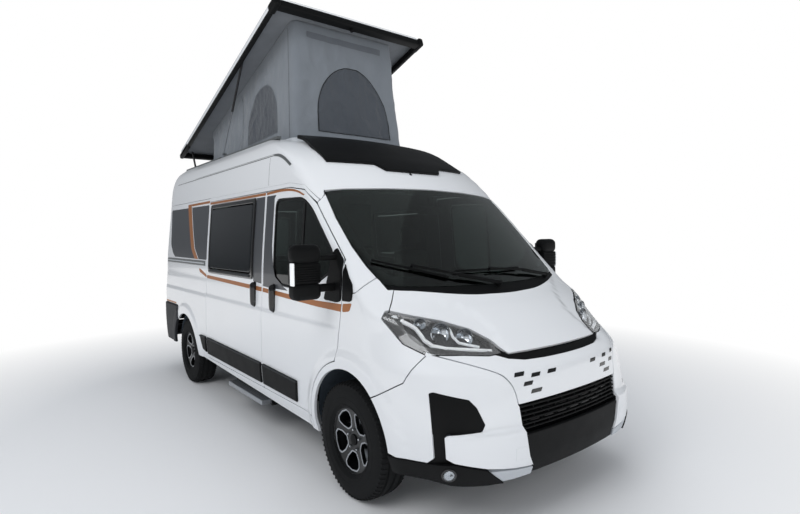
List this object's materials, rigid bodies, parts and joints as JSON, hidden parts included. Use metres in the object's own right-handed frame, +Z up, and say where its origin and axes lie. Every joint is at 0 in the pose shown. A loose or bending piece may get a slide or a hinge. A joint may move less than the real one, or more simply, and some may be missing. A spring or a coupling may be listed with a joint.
{
  "type": "camper van",
  "caption": "White high-roof camper van with a pop-up roof tent raised over it, side step out and dark stripes.",
  "frame": {"origin": "on the ground under the middle of the van", "axes": "+X forward, +Y the van's left, +Z up"},
  "size_m": [5.438, 2.69, 3.7227],
  "materials": {
    "body_paint": "gloss",
    "dark_steel": "satin",
    "gloss_black": "gloss",
    "black_plastic": "matte",
    "grey_plastic": "matte",
    "lamp_clear": "gloss",
    "lamp_red": "gloss",
    "glass": "gloss",
    "tinted_acrylic": "gloss",
    "seat_cover": "matte",
    "board": "satin",
    "liner_plastic": "matte",
    "cast_block": "matte",
    "aluminium": "satin",
    "steel": "satin",
    "tent_cloth": "matte",
    "tyre": "matte",
    "black_alloy": "gloss"
  },
  "bodies": {
    "body": {"floor_pan": "dark_steel", "firewall": "dark_steel", "chassis_frame": "dark_steel", "body_side_left": "body_paint", "body_side_right": "body_paint", "roof_panel": "body_paint", "roof_fairing": "gloss_black", "front_wings": "body_paint", "front_bumper": "body_paint", "grille": "black_plastic", "headlamps": "lamp_clear", "rear_bumper": "grey_plastic", "tail_lamps": "lamp_red", "windscreen": "glass", "scuttle": "black_plastic", "wipers": "black_plastic", "sliding_door": "body_paint", "living_windows": "tinted_acrylic", "dashboard": "black_plastic", "seats": "seat_cover", "furniture": "board", "arch_liners": "liner_plastic", "front_subframe": "dark_steel", "suspension_struts": "dark_steel", "rear_axle": "dark_steel", "leaf_springs": "dark_steel", "engine": "cast_block", "radiator": "aluminium", "underfloor_tanks": "black_plastic", "silencer": "steel", "step_housing": "black_plastic", "roof_rails": "black_plastic", "tent": "tent_cloth"},
    "bonnet": {"bonnet": "body_paint"},
    "step_tread": {"step_tread": "aluminium"},
    "steering_wheel": {"steering_wheel": "black_plastic"},
    "roof_lid": {"roof_lid": "body_paint"},
    "lift_arms": {"lift_arms": "dark_steel"},
    "strut_tubes": {"strut_tubes": "gloss_black"},
    "strut_rods": {"strut_rods": "steel"},
    "cab_door_left": {"cab_door_left": "body_paint", "cab_glass_left": "glass", "mirror_left": "black_plastic"},
    "rear_door_left": {"rear_door_left": "body_paint", "rear_glass_left": "glass"},
    "knuckle_left": {"knuckle_left": "cast_block"},
    "cab_door_right": {"cab_door_right": "body_paint", "cab_glass_right": "glass", "mirror_right": "black_plastic"},
    "rear_door_right": {"rear_door_right": "body_paint", "rear_glass_right": "glass"},
    "knuckle_right": {"knuckle_right": "cast_block"},
    "wheel_front_left": {"tyre_front_left": "tyre", "rim_front_left": "black_alloy"},
    "wheel_front_right": {"tyre_front_right": "tyre", "rim_front_right": "black_alloy"},
    "wheel_rear_left": {"tyre_rear_left": "tyre", "rim_rear_left": "black_alloy"},
    "wheel_rear_right": {"tyre_rear_right": "tyre", "rim_rear_right": "black_alloy"}
  },
  "joints": [
    {"name": "bonnet_hinge", "type": "hinge", "parent": "body", "child": "bonnet", "pos_m": [1.945, 0, 1.345], "axis": [0, -1, 0], "range_deg": [0, 50]},
    {"name": "cab_door_left_hinge", "type": "hinge", "parent": "body", "child": "cab_door_left", "pos_m": [1.7, 1.014, 1.045], "axis": [0, 0, -1], "range_deg": [0, 65]},
    {"name": "rear_door_left_hinge", "type": "hinge", "parent": "body", "child": "rear_door_left", "pos_m": [-2.708, 0.863, 1.42], "axis": [0, 0, -1], "range_deg": [0, 180]},
    {"name": "steering_left", "type": "hinge", "parent": "body", "child": "knuckle_left", "pos_m": [1.741, 0.78755, 0.372], "axis": [0, -0.2195, 0.9756], "range_deg": [-32, 32]},
    {"name": "front_left_spin", "type": "hinge", "parent": "knuckle_left", "child": "wheel_front_left", "pos_m": [1.741, 0.905, 0.372], "axis": [0, 1, 0], "continuous": true},
    {"name": "rear_left_spin", "type": "hinge", "parent": "body", "child": "wheel_rear_left", "pos_m": [-1.709, 0.895, 0.372], "axis": [0, 1, 0], "continuous": true},
    {"name": "cab_door_right_hinge", "type": "hinge", "parent": "body", "child": "cab_door_right", "pos_m": [1.7, -1.014, 1.045], "axis": [0, 0, 1], "range_deg": [0, 65]},
    {"name": "rear_door_right_hinge", "type": "hinge", "parent": "body", "child": "rear_door_right", "pos_m": [-2.708, -0.863, 1.42], "axis": [0, 0, 1], "range_deg": [0, 180]},
    {"name": "steering_right", "type": "hinge", "parent": "body", "child": "knuckle_right", "pos_m": [1.741, -0.78755, 0.372], "axis": [0, 0.2195, 0.9756], "range_deg": [-32, 32]},
    {"name": "front_right_spin", "type": "hinge", "parent": "knuckle_right", "child": "wheel_front_right", "pos_m": [1.741, -0.905, 0.372], "axis": [0, 1, 0], "continuous": true},
    {"name": "rear_right_spin", "type": "hinge", "parent": "body", "child": "wheel_rear_right", "pos_m": [-1.709, -0.895, 0.372], "axis": [0, 1, 0], "continuous": true},
    {"name": "steering_wheel_turn", "type": "hinge", "parent": "body", "child": "steering_wheel", "pos_m": [1.13, 0.42, 1.215], "axis": [-0.6157, 0, 0.788], "range_deg": [-450, 450]},
    {"name": "step_slide", "type": "slide", "parent": "body", "child": "step_tread", "axis": [0, 1, 0], "range_m": [0, 0.22]},
    {"name": "lift_arm_hinge", "type": "hinge", "parent": "body", "child": "lift_arms", "pos_m": [-2.2788, 0, 2.56], "axis": [0, -1, 0], "range_deg": [0, 58.42]},
    {"name": "lid_hinge", "type": "hinge", "parent": "lift_arms", "child": "roof_lid", "pos_m": [-2.39055, 0, 2.76855], "axis": [0, -1, 0], "range_deg": [-75.95, 0], "deforming": ["tent"]},
    {"name": "strut_hinge", "type": "hinge", "parent": "roof_lid", "child": "strut_tubes", "pos_m": [-0.4865, 0, 3.414], "axis": [0, -1, 0], "range_deg": [-32.7, 0]},
    {"name": "strut_slide", "type": "slide", "parent": "strut_tubes", "child": "strut_rods", "axis": [-0.584, 0, -0.8118], "range_m": [-0.4475, 0]}
  ],
  "couplings": [
    {"joint": "steering_right", "follows": "steering_left", "ratio": 1},
    {"joint": "steering_wheel_turn", "follows": "steering_left", "ratio": 14},
    {"joint": "lid_hinge", "follows": "lift_arm_hinge", "ratio": -1.2996},
    {"joint": "strut_hinge", "follows": "lift_arm_hinge", "ratio": -0.559},
    {"joint": "strut_slide", "follows": "lift_arm_hinge", "m_per_rad": -0.4384}
  ]
}
